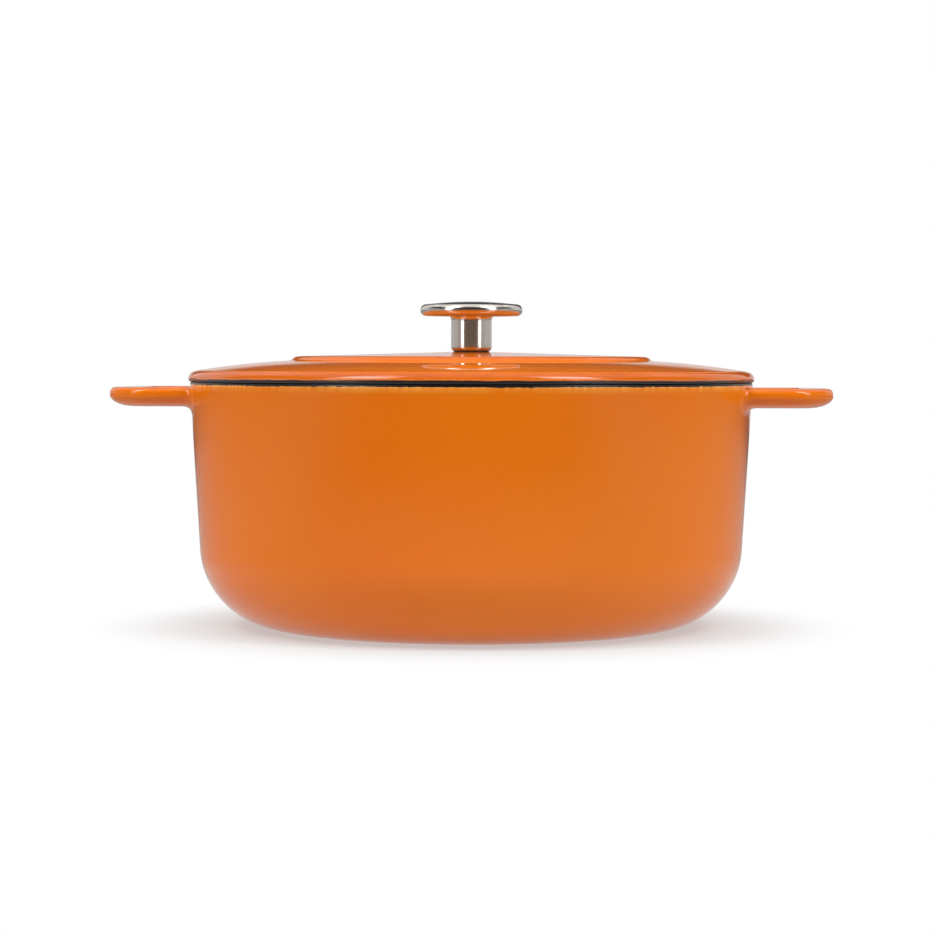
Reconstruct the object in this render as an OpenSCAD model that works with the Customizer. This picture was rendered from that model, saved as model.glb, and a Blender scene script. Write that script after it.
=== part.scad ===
// Round enamelled cast iron dutch oven. The pot and its two loop handles are one casting, and the
// lid is a second casting that lifts off. A hollow knob of pressed stainless steel is held on the
// lid by a screw from below. Millimetres. The origin is the centre of the plane that the pot
// stands on, +Z is up, and the handles lie along X.

/* [Pot] */
// Outside diameter of the pot at its rim
pot_d = 285; // [238:1:342]
// Height of the rim, which the lid rests on, above the table
pot_h = 124.4; // [103:0.2:150]
// Thickness of the cast wall
wall_t = 4; // [3.3:0.1:5]
// Thickness of the floor
floor_t = 5; // [4:0.1:8]
// Lean of the wall away from upright, in degrees
draft = 3.4; // [2:0.1:5]
// Outside radius of the corner between the wall and the floor
corner_r = 42; // [30:1:52]
// Radius on both edges of the rim
rim_round = 1; // [0.6:0.1:1.5]
// Width of the flat ring that the pot stands on
foot_w = 20; // [10:1:30]
// Depth of the shallow recess inside that ring
foot_recess = 0.8; // [0.4:0.1:1.5]

/* [Handles] */
// Reach of a handle out from the wall
handle_reach = 39.8; // [34:0.2:50]
// Width of a handle over its two roots
handle_w = 81; // [68:1:100]
// Width of a handle's bar, seen from above
bar_w = 17; // [13:0.5:20.5]
// Thickness of that bar
bar_t = 9.6; // [8:0.2:12]
// Height of the bar's widest line below its top
bar_waist = 3.75; // [3:0.05:5]
// Distance of the bar's lowest line from its inner side
bar_keel = 5; // [4:0.5:8]
// Radius on the top edges of the bar
bar_round = 2.8; // [1.5:0.1:3]
// Outside corner radius of a handle, seen from above
bend_r = 22; // [21:1:30]
// Drop of a handle's top below the rim
handle_drop = 3.1; // [2.2:0.1:10]
// Swelling of a handle's roots where they run into the wall
root_swell = 3; // [2:0.5:4]

/* [Lid] */
// Overhang of the lid past the rim, all round
lid_over = 0.75; // [0.3:0.05:2]
// Thickness of the cast lid
lid_t = 4; // [3.3:0.1:5]
// Height of the lid's edge above the rim
edge_h = 5.2; // [4.5:0.1:7]
// Radius on the top of that edge
edge_round = 4; // [1.5:0.1:4.4]
// Rise of the lid from its edge to the foot of the raised panel
crown_rise = 5.3; // [3:0.1:12]
// Height that the lid bows up by between them
crown_bow = 0.7; // [0:0.1:1.2]
// Diameter of the raised panel
panel_d = 183; // [150:1:200]
// Height of the step up to the panel
step_h = 2.2; // [1.5:0.1:3]
// Radius on the shoulder of that step
shoulder_r = 4.3; // [3.5:0.1:6]
// Rise of the panel from its shoulder to the seat of the knob
panel_rise = 2.2; // [0.5:0.1:6]
// Depth of the ring under the lid that keeps it centred in the pot
lip_h = 5; // [3:0.5:8]
// Thickness of that ring
lip_t = 3; // [2.5:0.1:5]
// Clearance between that ring and the inside of the pot
lip_gap = 1; // [0.5:0.1:2]
// Diameter of the boss under the lid that the screw pulls against
boss_d = 26; // [22:0.5:32]
// Height that the boss stands down from the lid
boss_h = 3.5; // [2.8:0.1:6]

/* [Knob] */
// Diameter of the knob's disc
knob_d = 52; // [44:0.5:62]
// Height from the bottom of the stem to the top of the disc
knob_h = 25.2; // [21:0.1:32]
// Thickness of the disc at its rolled edge
disc_t = 5.9; // [5:0.1:8]
// Height of the dome on the disc
dome_h = 1.4; // [0:0.1:3]
// Outside diameter of the stem
stem_d = 20.7; // [17:0.1:25]
// Radius of the flare where the stem spreads out under the disc
flare_r = 3; // [1.5:0.1:4]
// Radius on the bottom edge of the stem
stem_round = 2.1; // [1.2:0.1:2.6]
// Thickness of the cap's steel sheet
cap_sheet = 0.9; // [0.6:0.1:1.2]
// Thickness of the stem's steel sheet
stem_sheet = 1; // [0.6:0.1:1.1]
// Grip of the cap's returned edge under the rim of the stem's flange
crimp = 1.5; // [1:0.1:2]
// Width of the flat seat on the lid that shows round the stem
seat_margin = 1.65; // [1:0.05:5]
// Thickness of the gasket under the stem
gasket_t = 0.4; // [0.3:0.1:1.5]
// Distance of the gasket's edge inside the stem's side
gasket_inset = 1.2; // [0:0.05:2]

/* [Fixings] */
// Diameter of the screw's thread
screw_d = 6; // [5:0.1:7.2]
// Length of the screw under its head
screw_l = 20; // [16:1:20]
// Diameter of the screw's head
head_d = 12; // [10:0.5:14]
// Height of that head
head_h = 3.7; // [3:0.1:4.5]
// Height of the threaded insert inside the stem
insert_h = 10; // [8:0.5:12]
// Diameter of the flat washer
washer_d = 16; // [13:0.5:20]
// Thickness of the flat washer
washer_t = 1.2; // [0.8:0.1:2]
// Diameter of the split lock washer
lock_d = 11; // [9.5:0.5:12.5]
// Thickness of the split lock washer
lock_t = 1.5; // [1:0.1:2]

/* [Hidden] */
// Clearance round the screw where it passes through a plain hole
hole_gap = 0.5;
// Clearance between the insert and the stem, and between the screw and the insert
fit_gap = 0.05;
// Overrun of a cut past the face that it opens
over = 1;
// Angle from the level at which the lid's edge turns into its crown
crown_angle = 80;
// Angle from the level at which the knob's edge turns into its dome
dome_angle = 83;

enamel = "#DE7024";
steel = "#C9C4BC";
zinc = "#A9A7A2";
rubber = "#2B2927";

// Heights, from the rim up to the top of the knob and down to the screw's head
edge_top = pot_h + edge_h;
crown_top = edge_top + crown_rise;
seat_z = crown_top + step_h + panel_rise;
stem_z = seat_z + gasket_t;
disc_z = stem_z + knob_h - dome_h - disc_t;
flange_z = disc_z + cap_sheet;
boss_z = seat_z - lid_t - boss_h;
lock_z = boss_z - washer_t - lock_t;
handle_z = pot_h - handle_drop;

// Radii
seat_r = stem_d / 2 + seat_margin;
mouth_r = inner_r(pot_h - lip_h);
foot_r = corner_x(0, corner_r, 0) - foot_w;
lid_r = pot_d / 2 + lid_over;
crown_r = lid_r - edge_round * (1 - cos(crown_angle));
panel_r = panel_d / 2;
shoulder_x = panel_r - shoulder_r * cos(foot_angle());
lip_r = mouth_r - lip_gap;
roll_r = disc_t / 2;
roll_x = knob_d / 2 - roll_r;
flange_r = roll_x - 0.2;
tip_x = wall_r(handle_z - bar_waist) + handle_reach;

$fn = 96;

// Points on a circle about c from angle a to angle b
function arc(c, r, a, b, n = 8) =
    [for (i = [0:n]) let (t = a + (b - a) * i / n) c + r * [cos(t), sin(t)]];

// Points on an ellipse about c with half axes s, from angle a to angle b
function oval(c, s, a, b, n = 8) =
    [for (i = [0:n]) let (t = a + (b - a) * i / n) c + [s.x * cos(t), s.y * sin(t)]];

// Radius of the pot's straight wall at height z, outside and inside
function wall_r(z) = pot_d / 2 - (pot_h - z) * tan(draft);
function inner_r(z) = wall_r(z) - wall_t / cos(draft);

// Radius at which a corner of radius r stands on a floor at height z and touches the wall's
// line, moved in by t
function corner_x(z, r, t) = wall_r(z + r) - (r + t) / cos(draft);

// Height of the lid's crown at radius r: a straight rise with a parabola's bow added
function crown_z(r) =
    let (t = (crown_r - r) / (crown_r - panel_r))
    edge_top + crown_rise * t + 4 * crown_bow * t * (1 - t);

// Height of the panel's top at radius r
function panel_z(r) = seat_z - panel_rise * (r - seat_r) / (panel_r - shoulder_r - seat_r);

// Angle on the shoulder's circle at which it comes down to the foot of the step
function foot_angle() = asin((shoulder_r - step_h) / shoulder_r);

// Everything inside a leaning wall with a round bottom corner, up to the given top outline
module bowl_outline(z, r, t, top) {
    c = [corner_x(z, r, t), z + r];
    union() {
        polygon(concat([[0, z], [c.x, z], c, c + r * [cos(draft), -sin(draft)]], top));
        translate(c) circle(r);
    }
}

module outer_outline() {
    rim = [wall_r(pot_h - rim_round) - rim_round / cos(draft), pot_h - rim_round];
    bowl_outline(0, corner_r, 0, concat(arc(rim, rim_round, -draft, 90), [[0, pot_h]]));
}

module cavity_outline() {
    rim = [inner_r(pot_h - rim_round) + rim_round / cos(draft), pot_h - rim_round];
    lead = arc(rim, rim_round, 180 - draft, 90);
    bowl_outline(floor_t, corner_r - wall_t, wall_t,
        concat(lead, [[rim.x, pot_h + over], [0, pot_h + over]]));
}

// Cross-section of a handle's bar, with its inner side at x and its top at height 0: a flat top
// with round edges, over an uneven oval belly
module bar_section(x) {
    keel = [x + bar_keel, -bar_waist];
    belly = bar_t - bar_waist;
    polygon(concat(
        arc([x + bar_round, -bar_round], bar_round, 90, 180, 6),
        oval(keel, [bar_keel, belly], 180, 270),
        oval(keel, [bar_w - bar_keel, belly], 270, 360, 10),
        arc([x + bar_w - bar_round, -bar_round], bar_round, 0, 90, 6)));
}

// Thin slice of a handle's root at distance x from the pot's axis, swollen by s, more
// downwards than up so that it stays below the rim
module root_slice(x, y, s) {
    translate([x, y, -0.75 * s]) rotate([90, 0, 90]) linear_extrude(0.1)
        offset(delta = s) bar_section(bend_r - bar_w);
}

// Half of a handle, on the +Y side: the middle of the grip, the bend, and the arm with its root
module half_handle() {
    bend = [tip_x - bend_r, handle_w / 2 - bend_r];
    root_x = sqrt(pow(wall_r(handle_z), 2) - pow(handle_w / 2, 2));
    arm_x = root_x - handle_w / 2;
    translate(bend) rotate([90, 0, 0]) linear_extrude(bend.y) bar_section(bend_r - bar_w);
    translate(bend) rotate_extrude(angle = 90) bar_section(bend_r - bar_w);
    translate(bend) mirror([1, 0, 0]) rotate([90, 0, 90])
        linear_extrude(bend.x - arm_x) bar_section(bend_r - bar_w);
    hull() {
        $fn = 32;
        root_slice(root_x + 3 * root_swell, bend.y, -0.1);
        root_slice(root_x - wall_t / 2, bend.y, root_swell);
    }
}

module handle() {
    half_handle();
    mirror([0, 1, 0]) half_handle();
}

module pot_body() {
    color(enamel) difference() {
        union() {
            rotate_extrude() outer_outline();
            for (side = [0, 180])
                translate([0, 0, handle_z]) rotate([0, 0, side]) handle();
        }
        rotate_extrude() cavity_outline();
        translate([0, 0, -over]) cylinder(r = foot_r, h = foot_recess + over);
    }
}

// Half section of the lid: seat, edge, crown, step, panel and seat of the knob over the top, then
// the boss, the hollow underside and the centring ring
module lid_outline() {
    hole_r = screw_d / 2 + hole_gap;
    edge_c = [lid_r - edge_round, edge_top - edge_round];
    shoulder_c = [shoulder_x, crown_top - shoulder_r * sin(foot_angle())];
    lip_x = lip_r - lip_t;
    riser_x = panel_r - 0.6 * lid_t;
    riser_w = 2 * step_h;
    polygon(concat(
        [[lip_r, pot_h]],
        arc([lid_r - 0.5, pot_h + 0.5], 0.5, -90, 0, 4),
        arc(edge_c, edge_round, 0, crown_angle),
        [for (i = [1:12]) let (r = crown_r + (panel_r - crown_r) * i / 12) [r, crown_z(r)]],
        arc(shoulder_c, shoulder_r, foot_angle(), 88),
        [[seat_r, seat_z], [hole_r, seat_z], [hole_r, boss_z]],
        arc([boss_d / 2 - 0.8, boss_z + 0.8], 0.8, -90, 0, 4),
        [[boss_d / 2, panel_z(boss_d / 2) - lid_t - 1.5],
            [boss_d / 2 + 1.5, panel_z(boss_d / 2 + 1.5) - lid_t],
            [riser_x - riser_w, panel_z(riser_x - riser_w) - lid_t]],
        [for (i = [0:8]) let (r = riser_x + (lip_x - 2 - riser_x) * i / 8) [r, crown_z(r) - lid_t]],
        arc([lip_x - 2, crown_z(lip_x) - lid_t - 2.2], 2, 60, 0, 4),
        [[lip_x, pot_h - lip_h + 0.8]],
        arc([lip_x + 0.8, pot_h - lip_h + 0.8], 0.8, 180, 270, 4),
        arc([lip_r - 0.8, pot_h - lip_h + 0.8], 0.8, -90, 0, 4)));
}

module lid() {
    color(enamel) rotate_extrude() lid_outline();
}

// Flat ring with a round hole, standing on height z
module ring(d, hole_d, h, z) {
    translate([0, 0, z]) difference() {
        cylinder(d = d, h = h);
        translate([0, 0, -over]) cylinder(d = hole_d, h = h + 2 * over);
    }
}

module knob_gasket() {
    color(rubber) ring(stem_d - 2 * gasket_inset, screw_d + 2 * hole_gap, gasket_t, seat_z);
}

// Drawn tube with a closed bottom, which flares at the top into the flange that carries the cap
module knob_stem() {
    hole_r = screw_d / 2 + hole_gap;
    stem_r = stem_d / 2;
    bottom = [stem_r - stem_round, stem_z + stem_round];
    flare = [stem_r + flare_r, flange_z - flare_r];
    color(steel) rotate_extrude() polygon(concat(
        [[hole_r, stem_z]],
        arc(bottom, stem_round, -90, 0),
        arc(flare, flare_r, 180, 90),
        [[flange_r, flange_z], [flange_r, flange_z + stem_sheet]],
        arc(flare, flare_r + stem_sheet, 90, 180),
        arc(bottom, stem_round - stem_sheet, 0, -90, 4),
        [[hole_r, stem_z + stem_sheet]]));
}

// Domed disc of sheet steel, whose edge is rolled round and returned under the stem's flange
module knob_cap() {
    roll = [roll_x, disc_z + roll_r];
    top = roll.y + roll_r * sin(dome_angle);
    color(steel) rotate_extrude() polygon(concat(
        [for (i = [0:8]) let (t = i / 8) [roll_x * t, top + dome_h * (1 - t * t)]],
        arc(roll, roll_r, dome_angle, -90, 20),
        [[flange_r - crimp, disc_z], [flange_r - crimp, flange_z]],
        arc(roll, roll_r - cap_sheet, -90, dome_angle, 16),
        [for (i = [8:-1:0]) let (t = i / 8) [roll_x * t, top - cap_sheet + dome_h * (1 - t * t)]]));
}

// Threaded steel plug that fills the bottom of the stem
module knob_insert() {
    r = stem_d / 2 - stem_sheet - fit_gap;
    hole_r = screw_d / 2 + fit_gap;
    low = stem_z + stem_sheet;
    bevel = stem_round - stem_sheet + 0.3;
    color(zinc) rotate_extrude() polygon([
        [hole_r, low], [r - bevel, low], [r, low + bevel],
        [r, low + insert_h - bevel], [r - bevel, low + insert_h], [hole_r, low + insert_h]]);
}

module flat_washer() {
    color(zinc) ring(washer_d, screw_d + hole_gap, washer_t, boss_z - washer_t);
}

// Ring washer split by a slanted saw cut
module lock_washer() {
    color(zinc) difference() {
        ring(lock_d, screw_d + hole_gap, lock_t, lock_z);
        translate([lock_d / 2, 0, lock_z + lock_t / 2]) rotate([30, 0, 0])
            cube([lock_d, 1.2, 4 * lock_t], center = true);
    }
}

// Pan head screw with a cross recess, put in from below
module knob_screw() {
    slot = [0.55 * head_d, 1.2, head_h];
    dome = head_h / 2;
    color(zinc) difference() {
        union() {
            translate([0, 0, lock_z]) cylinder(d = screw_d, h = screw_l);
            rotate_extrude() polygon(concat(
                [[0, lock_z], [0, lock_z - head_h]],
                arc([head_d / 2 - dome, lock_z - head_h + dome], dome, -90, 0),
                [[head_d / 2, lock_z]]));
        }
        for (turn = [0, 90])
            translate([0, 0, lock_z - head_h]) rotate([0, 0, turn]) cube(slot, center = true);
    }
}

pot_body();
lid();
knob_gasket();
knob_stem();
knob_cap();
knob_insert();
flat_washer();
lock_washer();
knob_screw();
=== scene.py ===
"""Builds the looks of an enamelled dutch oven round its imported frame: the two-tone castings of
the pot and the lid, the hollow steel knob with its fixings, and a plain studio."""

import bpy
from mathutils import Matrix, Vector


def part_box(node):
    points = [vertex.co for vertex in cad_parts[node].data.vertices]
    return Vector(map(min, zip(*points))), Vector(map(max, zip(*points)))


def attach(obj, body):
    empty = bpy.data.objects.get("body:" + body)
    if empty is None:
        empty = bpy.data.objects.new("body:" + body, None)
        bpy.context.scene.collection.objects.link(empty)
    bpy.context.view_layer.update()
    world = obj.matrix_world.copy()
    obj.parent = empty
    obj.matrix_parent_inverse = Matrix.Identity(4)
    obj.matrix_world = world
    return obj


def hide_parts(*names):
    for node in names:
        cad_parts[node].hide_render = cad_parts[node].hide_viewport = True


bl_info = {
    "name": "Enamelled dutch oven",
    "version": (1, 0, 0),
    "blender": (4, 5, 0),
    "location": "View3D > Sidebar > Dutch oven",
    "description": "Makes a round enamelled cast iron dutch oven and a plain studio for it",
    "category": "Add Mesh",
}

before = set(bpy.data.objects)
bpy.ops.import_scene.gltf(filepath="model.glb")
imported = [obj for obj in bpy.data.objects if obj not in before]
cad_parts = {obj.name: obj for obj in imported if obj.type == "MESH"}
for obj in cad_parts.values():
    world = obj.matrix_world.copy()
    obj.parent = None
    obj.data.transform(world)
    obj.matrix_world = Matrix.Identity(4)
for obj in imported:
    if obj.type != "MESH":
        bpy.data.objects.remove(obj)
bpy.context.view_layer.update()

import math

import bpy
import numpy as np

MM = 0.001
POT_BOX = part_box("pot_body")
LID_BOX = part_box("lid")
GASKET_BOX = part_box("knob_gasket")
STEM_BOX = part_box("knob_stem")
CAP_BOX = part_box("knob_cap")
SCREW_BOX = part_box("knob_screw")
LOCK_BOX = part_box("lock_washer")
WASHER_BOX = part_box("flat_washer")

# Columns round a surface of revolution
ENAMEL_COLUMNS = 576
CASTING_COLUMNS = 288
KNOB_COLUMNS = 128
FIXING_COLUMNS = 96

# Step between the points of a small piece's straight lines
FINE = 1 * MM
# Radius at which the pot's outlines stop short of the axis
AXIS_R = 0.1 * MM
# Space inside the iron between a casting's orange shell and its black one
SHELL_GAP = 0.1 * MM
# Clearance between the screw and the hole of a washer, all round
WASHER_GAP = 0.25 * MM
# Bevel on the edges of the washers and the gasket
RING_BEVEL = 0.15 * MM
WHITE = (1.0, 1.0, 1.0)


def length(name, description, default):
    """A property for a size, in metres."""
    return bpy.props.FloatProperty(
        name=name, description=description, default=default, min=0.0, unit="LENGTH"
    )


def colour(name, description, default):
    """A property for a linear colour."""
    return bpy.props.FloatVectorProperty(
        name=name, description=description, default=default, size=3, min=0.0, max=1.0,
        subtype="COLOR",
    )


def angle(name, description, degrees):
    """A property for an angle, given in degrees."""
    return bpy.props.FloatProperty(
        name=name, description=description, default=math.radians(degrees), subtype="ANGLE"
    )


class PotSizes(bpy.types.PropertyGroup):
    """Sizes of the pot's casting."""

    rim_d: length("Rim", "Outside diameter of the pot at its rim", 285 * MM)
    height: length("Height", "Height of the rim above the table", POT_BOX[1].z)
    wall: length("Wall", "Thickness of the cast wall", 4 * MM)
    floor: length("Floor", "Thickness of the floor", 5 * MM)
    lean: angle("Lean", "Lean of the wall away from upright", 3.4)
    corner: length("Corner", "Outside radius between the wall and the floor", 42 * MM)
    rim_round: length("Rim round", "Radius on both edges of the rim", 1 * MM)
    foot_w: length("Foot", "Width of the flat ring that the pot stands on", 20 * MM)
    recess: length("Recess", "Depth of the recess inside the foot", 0.8 * MM)
    black_rim: length("Black rim", "Height of the black rim above the orange enamel", 1.45 * MM)
    bead: length("Bead", "Radius of the orange enamel's rounded edge", 0.35 * MM)
    waver: length("Waver", "How far that edge wavers up and down", 0.16 * MM)


class HandleSizes(bpy.types.PropertyGroup):
    """Sizes of the two cast loop handles."""

    width: length("Width", "Width of a handle over its roots", 81 * MM)
    bar_w: length("Bar width", "Width of the bar, seen from above", 17 * MM)
    bar_t: length("Bar thickness", "Thickness of the bar", 9.6 * MM)
    waist: length("Waist", "Depth of the bar's widest line below its top", 3.75 * MM)
    keel: length("Keel", "Distance of the bar's lowest line from its inner side", 5 * MM)
    edge: length("Edge", "Radius on the bar's top edges", 2.8 * MM)
    bend: length("Bend", "Outside radius of the bends, seen from above", 22 * MM)
    drop: length("Drop", "Drop of the handle's top below the rim", 3.1 * MM)
    root: length("Root", "Size of the fillet that runs a root into the wall", 4.2 * MM)


class LidSizes(bpy.types.PropertyGroup):
    """Sizes of the lid's casting."""

    thickness: length("Thickness", "Thickness of the casting", 4 * MM)
    skin: length("Skin", "Depth at which the orange shell meets the black one", 1.5 * MM)
    edge_h: length("Edge", "Height of the edge above the rim", 5.2 * MM)
    edge_round: length("Edge round", "Radius on the top of the edge", 4 * MM)
    edge_turn: angle("Edge turn", "How far that radius turns before the crown starts", 80)
    crown_rise: length("Crown rise", "Rise from the edge to the foot of the panel", 5.3 * MM)
    crown_bow: length("Crown bow", "Height that the crown bows up by", 0.7 * MM)
    panel_d: length("Panel", "Diameter of the raised panel", 183 * MM)
    step_h: length("Step", "Height of the step up to the panel", 2.2 * MM)
    shoulder: length("Shoulder", "Radius on the shoulder of the step", 4.3 * MM)
    foot_round: length("Step foot", "Radius in the corner at the foot of the step", 1.6 * MM)
    panel_rise: length("Panel rise", "Rise of the panel up to the knob's seat", 2.2 * MM)
    seat_r: length("Seat", "Radius of the flat seat under the knob", 12 * MM)
    lip_h: length("Ring depth", "Depth of the ring that centres the lid", 5 * MM)
    lip_t: length("Ring thickness", "Thickness of that ring", 3 * MM)
    lip_gap: length("Ring clearance", "Clearance between the ring and the pot", 1 * MM)
    boss_d: length("Boss", "Diameter of the boss for the screw", 26 * MM)
    hole_d: length("Hole", "Diameter of the screw's hole", 7 * MM)
    black_edge: length("Black edge", "Height of the black lower edge", 1.5 * MM)
    bead: length("Bead", "Radius of the orange enamel's rounded edge", 0.4 * MM)
    waver: length("Waver", "How far that edge wavers up and down", 0.14 * MM)
    sway: length("Sway", "How much higher that edge is between the handles", 0.3 * MM)


class KnobSizes(bpy.types.PropertyGroup):
    """Sizes of the knob and of what holds it on."""

    disc_t: length("Disc", "Thickness of the disc at its rolled edge", 5.9 * MM)
    roll_end: angle("Roll end", "Where the rolled edge passes into the domed top", 83)
    stem_d: length("Stem", "Outside diameter of the stem", 20.7 * MM)
    flare: length("Flare", "Radius where the stem spreads out under the disc", 3 * MM)
    stem_round: length("Stem edge", "Radius on the bottom edge of the stem", 2.1 * MM)
    cap_sheet: length("Cap sheet", "Thickness of the cap's sheet", 0.9 * MM)
    stem_sheet: length("Stem sheet", "Thickness of the stem's sheet", 1 * MM)
    crimp: length("Crimp", "Grip of the cap under the flange", 1.5 * MM)
    hole_d: length("Hole", "Diameter of the screw's hole in the stem and the gasket", 7 * MM)
    screw_d: length("Screw", "Diameter of the screw's thread", 6 * MM)
    pitch: length("Pitch", "Pitch of that thread", 1 * MM)
    split: length("Split", "Width of the split in the lock washer", 1.2 * MM)


class Finishes(bpy.types.PropertyGroup):
    """Colours of the enamels and metals."""

    orange: colour("Orange", "Orange enamel where it lies thick", (0.76, 0.150, 0.004))
    amber: colour("Amber", "Orange enamel where it lies lighter", (0.79, 0.190, 0.003))
    burnt: colour("Burnt", "Orange enamel where it thins on an edge", (0.50, 0.085, 0.006))
    # Pale is a painted highlight: a lighter orange laid along the enamel's rounded border, where
    # that edge catches the light.
    pale: colour("Pale", "Orange enamel along its rounded border", (0.90, 0.36, 0.06))
    black: colour("Black", "Black enamel", (0.013, 0.012, 0.013))
    fleck: colour("Fleck", "Pale flecks in the black enamel", (0.06, 0.058, 0.056))
    steel: colour("Steel", "Polished stainless steel", (0.66, 0.62, 0.57))
    zinc: colour("Zinc", "Zinc plating", (0.56, 0.55, 0.52))
    gasket: colour("Gasket", "Heat-resistant gasket", (0.022, 0.020, 0.019))


class Studio(bpy.types.PropertyGroup):
    """The camera and the light."""

    lens: bpy.props.FloatProperty(
        name="Lens", description="Focal length in millimetres", default=108.0, min=1.0
    )
    distance: length("Distance", "Distance of the camera from the pot's axis", 1.429)
    height: length("Height", "Height of the camera", 0.1371)
    azimuth: angle("Azimuth", "Turn of the camera about the pot, to the right", 4.0)
    aside: length("Aside", "Distance of the camera to the left of the pot's axis", 1.7 * MM)
    pitch: angle("Pitch", "Tilt of the camera below the level", 2.276)
    roll: angle("Roll", "Turn of the camera about its line of sight", -0.12)
    floor: colour("Floor", "Colour of the floor", (0.30, 0.30, 0.30))
    under: bpy.props.FloatProperty(
        name="Under", description="Strength of the light under the floor", default=0.45, min=0.0
    )
    fill: bpy.props.FloatProperty(
        name="Fill", description="Strength of the light from all round", default=0.75, min=0.0
    )


# Outlines: arrays of points (r, z), or (across, up) on a handle's section


def arc(centre, radius, start, stop, count):
    """Points on a circle: the centre plus the radius turned from start to stop, in degrees."""
    turn = np.radians(np.linspace(start, stop, count))
    return np.array(centre) + radius * np.stack([np.cos(turn), np.sin(turn)], 1)


def oval(centre, half, start, stop, count):
    """Points on an ellipse: the centre plus its two half axes times the cosine and the sine."""
    turn = np.radians(np.linspace(start, stop, count))
    return np.array(centre) + np.array(half) * np.stack([np.cos(turn), np.sin(turn)], 1)


def line(start, stop, step=2.5 * MM):
    """Points on a straight line, in even steps no longer than step."""
    count = 2 + int(math.dist(start, stop) / step)
    return np.linspace(start, stop, count)


def joined(*runs):
    """One outline from several, without the points that repeat the one before."""
    points = np.concatenate([np.atleast_2d(np.array(run, float)) for run in runs])
    gap = np.linalg.norm(np.diff(points, axis=0), axis=1)
    return points[np.concatenate([[True], gap > 0.001 * MM])]


def hump(distance, width):
    """A bell curve: 1 at distance 0, falling to nothing over a few widths."""
    return np.exp(-((distance / width) ** 2))


def waves(turn, seed, first, last):
    """An irregular closed wave of height about 1: cosines of whole orders from first to last, with
    seeded phases and sizes that fall with the root of the order."""
    rng = np.random.default_rng(seed)
    order = np.arange(first, last + 1)
    size = rng.uniform(0.4, 1.0, order.size) / np.sqrt(order)
    phase = rng.uniform(0, 2 * np.pi, order.size)
    total = (size * np.cos(np.multiply.outer(turn, order) + phase)).sum(-1)
    return total / np.sqrt((size**2).sum())


# Surfaces: grids of points, with rows along one parameter and columns round a closed one


def turns(count):
    """Even angles round a full turn."""
    return np.linspace(0, 2 * np.pi, count, endpoint=False)


def grid_of(x, y, z):
    """Points from their three coordinates, each first spread to the shape of all three."""
    return np.stack(np.broadcast_arrays(x, y, z), axis=-1)


def around(r, turn, z):
    """Points at radius r and height z, turned about the axis: (r cos a, r sin a, z)."""
    return grid_of(r * np.cos(turn), r * np.sin(turn), z)


def revolved(profile, count):
    """A surface of revolution: every point (r, z) of an outline carried round the axis."""
    return around(profile[:, 0, None], turns(count), profile[:, 1, None])


def grid_mesh(name, grids, loop=False):
    """A mesh of closed surfaces. Each grid's columns run round. With loop its rows run round too,
    and without it a fan to the row's middle closes the first and the last row. A surface whose
    volume, the sum of its triangles' volumes from the origin, is negative has its faces turned."""
    points, faces, start = [], [], 0
    for grid in grids:
        rows, cols = grid.shape[:2]
        index = start + np.arange(rows * cols).reshape(rows, cols)
        if loop:
            index = np.concatenate([index, index[:1]])
        beside = np.roll(index, -1, axis=1)
        quads = np.stack([index[:-1], beside[:-1], beside[1:], index[1:]], axis=2)
        quads = quads.reshape(-1, 4)
        fans = np.empty((0, 3), int)
        flat = grid.reshape(-1, 3)
        if not loop:
            first = np.full(cols, start + len(flat))
            fans = np.concatenate(
                [
                    np.stack([beside[0], index[0], first], axis=1),
                    np.stack([index[-1], beside[-1], first + 1], axis=1),
                ]
            )
            flat = np.concatenate([flat, [grid[0].mean(0)], [grid[-1].mean(0)]])
        halves = np.concatenate([quads[:, :3], quads[:, [0, 2, 3]], fans]) - start
        a, b, c = flat[halves].transpose(1, 0, 2)
        if np.einsum("ij,ij->", a, np.cross(b, c)) < 0:
            quads, fans = quads[:, ::-1], fans[:, ::-1]
        faces += quads.tolist() + fans.tolist()
        points.append(flat)
        start += len(flat)
    mesh = bpy.data.meshes.new(name)
    mesh.from_pydata(np.concatenate(points), [], faces)
    mesh.shade_smooth()
    return mesh


def marked(mesh, name, values):
    """Stores one number for each vertex, for a material to read by name."""
    layer = mesh.attributes.new(name, "FLOAT", "POINT")
    layer.data.foreach_set("value", np.asarray(values, np.float32).ravel())


def points_of(mesh):
    """All vertices of a mesh, as an array."""
    flat = np.empty(len(mesh.vertices) * 3, np.float32)
    mesh.vertices.foreach_get("co", flat)
    return flat.reshape(-1, 3).astype(float)


def piece(name, mesh, maker, body, node):
    """Puts a mesh into the scene as a piece in the finish that maker makes. It rides on a body and
    stands for a CAD node."""
    mesh.materials.append(finish(maker))
    made = bpy.data.objects.new(name, mesh)
    bpy.context.scene.collection.objects.link(made)
    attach(made, body)
    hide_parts(node)


# Shaders


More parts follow.
